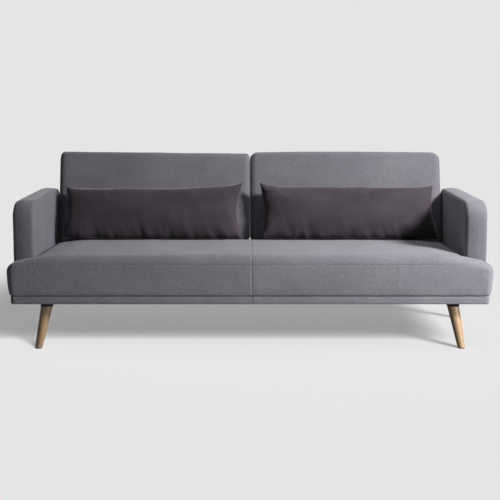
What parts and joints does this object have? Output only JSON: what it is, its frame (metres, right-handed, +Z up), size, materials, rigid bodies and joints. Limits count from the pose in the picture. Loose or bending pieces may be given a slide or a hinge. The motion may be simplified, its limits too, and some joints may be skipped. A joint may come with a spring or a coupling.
{
  "type": "click clack sofa bed",
  "caption": "Sofa bed with a split back on ratchet hinges that folds flat level with a wide sprung seat, slab arms, tapered splayed legs and loose bolster cushions.",
  "frame": {"origin": "on the floor under the middle of the sofa's bounding box", "axes": "+Z up, front faces -Y, +X towards the right-hand arm as seen from the front"},
  "size_m": [1.9556, 0.8622, 0.7784],
  "materials": {
    "upholstery": "mid grey linen weave",
    "cushion_fabric": "dark charcoal velvet",
    "foam": "open cell foam",
    "frame_timber": "sawn pine and ply",
    "oak": "satin oiled oak",
    "black_plastic": "matt black",
    "spring_steel": "dark spring wire",
    "zinc_steel": "zinc plated pressed steel",
    "fasteners": "zinc plated",
    "webbing": "woven elastic webbing",
    "black_cloth": "non-woven cloth"
  },
  "bodies": {
    "seat": {"arm_bolts": "fasteners", "arm_cover_left": "upholstery", "arm_cover_right": "upholstery", "arm_foam_left": "foam", "arm_foam_right": "foam", "arm_frame_left": "frame_timber", "arm_frame_right": "frame_timber", "arm_packers": "frame_timber", "hinge_pivots": "zinc_steel", "hinge_plate_bolts": "fasteners", "hinge_plate_inner_left": "zinc_steel", "hinge_plate_inner_right": "zinc_steel", "hinge_plate_outer_left": "zinc_steel", "hinge_plate_outer_right": "zinc_steel", "leg_caps": "black_plastic", "leg_front_left": "oak", "leg_front_right": "oak", "leg_glides": "black_plastic", "leg_hanger_bolts": "fasteners", "leg_rear_left": "oak", "leg_rear_right": "oak", "pawl_leaf_springs": "spring_steel", "pawl_pins": "zinc_steel", "seat_border": "upholstery", "seat_centre_rails": "frame_timber", "seat_cover": "upholstery", "seat_dust_cover": "black_cloth", "seat_foam": "foam", "seat_front_rail": "frame_timber", "seat_insulator_felt": "black_cloth", "seat_leg_blocks": "frame_timber", "seat_rear_rails": "frame_timber", "seat_side_rails": "frame_timber", "seat_spring_clips": "zinc_steel", "seat_springs": "spring_steel", "seat_wing_boards": "frame_timber"},
    "back_left": {"back_cover_left": "upholstery", "back_foam_left": "foam", "back_rails_left": "frame_timber", "back_stiles_left": "frame_timber", "back_webbing_left": "webbing", "ratchet_arm_inner_left": "zinc_steel", "ratchet_arm_outer_left": "zinc_steel", "strap_bolts_left": "fasteners"},
    "back_right": {"back_cover_right": "upholstery", "back_foam_right": "foam", "back_rails_right": "frame_timber", "back_stiles_right": "frame_timber", "back_webbing_right": "webbing", "ratchet_arm_inner_right": "zinc_steel", "ratchet_arm_outer_right": "zinc_steel", "strap_bolts_right": "fasteners"},
    "pawls_left": {"pawls_left": "zinc_steel"},
    "pawls_right": {"pawls_right": "zinc_steel"},
    "cushion_left": {"cushion_cover_left": "cushion_fabric", "cushion_filling_left": "foam"},
    "cushion_right": {"cushion_cover_right": "cushion_fabric", "cushion_filling_right": "foam"}
  },
  "joints": [
    {"name": "back_left_fold", "type": "hinge", "parent": "seat", "child": "back_left", "pos_m": [-0.44, 0.2455, 0.325], "axis": [1, 0, 0], "range_deg": [-75, 15]},
    {"name": "pawls_left_drop", "type": "hinge", "parent": "seat", "child": "pawls_left", "pos_m": [-0.44, 0.2049, 0.33071], "axis": [1, 0, 0], "range_deg": [0, 10], "stiffness_Nm_per_rad": 0.5},
    {"name": "cushion_left_shift", "type": "slide", "parent": "back_left", "child": "cushion_left", "axis": [0, 0.2588, 0.9659], "range_m": [-0.16, 0.035]},
    {"name": "back_right_fold", "type": "hinge", "parent": "seat", "child": "back_right", "pos_m": [0.44, 0.2455, 0.325], "axis": [1, 0, 0], "range_deg": [-75, 15]},
    {"name": "pawls_right_drop", "type": "hinge", "parent": "seat", "child": "pawls_right", "pos_m": [0.44, 0.2049, 0.33071], "axis": [1, 0, 0], "range_deg": [0, 10], "stiffness_Nm_per_rad": 0.5},
    {"name": "cushion_right_shift", "type": "slide", "parent": "back_right", "child": "cushion_right", "axis": [0, 0.2588, 0.9659], "range_m": [-0.16, 0.035]}
  ],
  "couplings": [
    {"joint": "cushion_left_shift", "follows": "back_left_fold", "m_per_rad": 0.119},
    {"joint": "cushion_right_shift", "follows": "back_right_fold", "m_per_rad": 0.119}
  ]
}
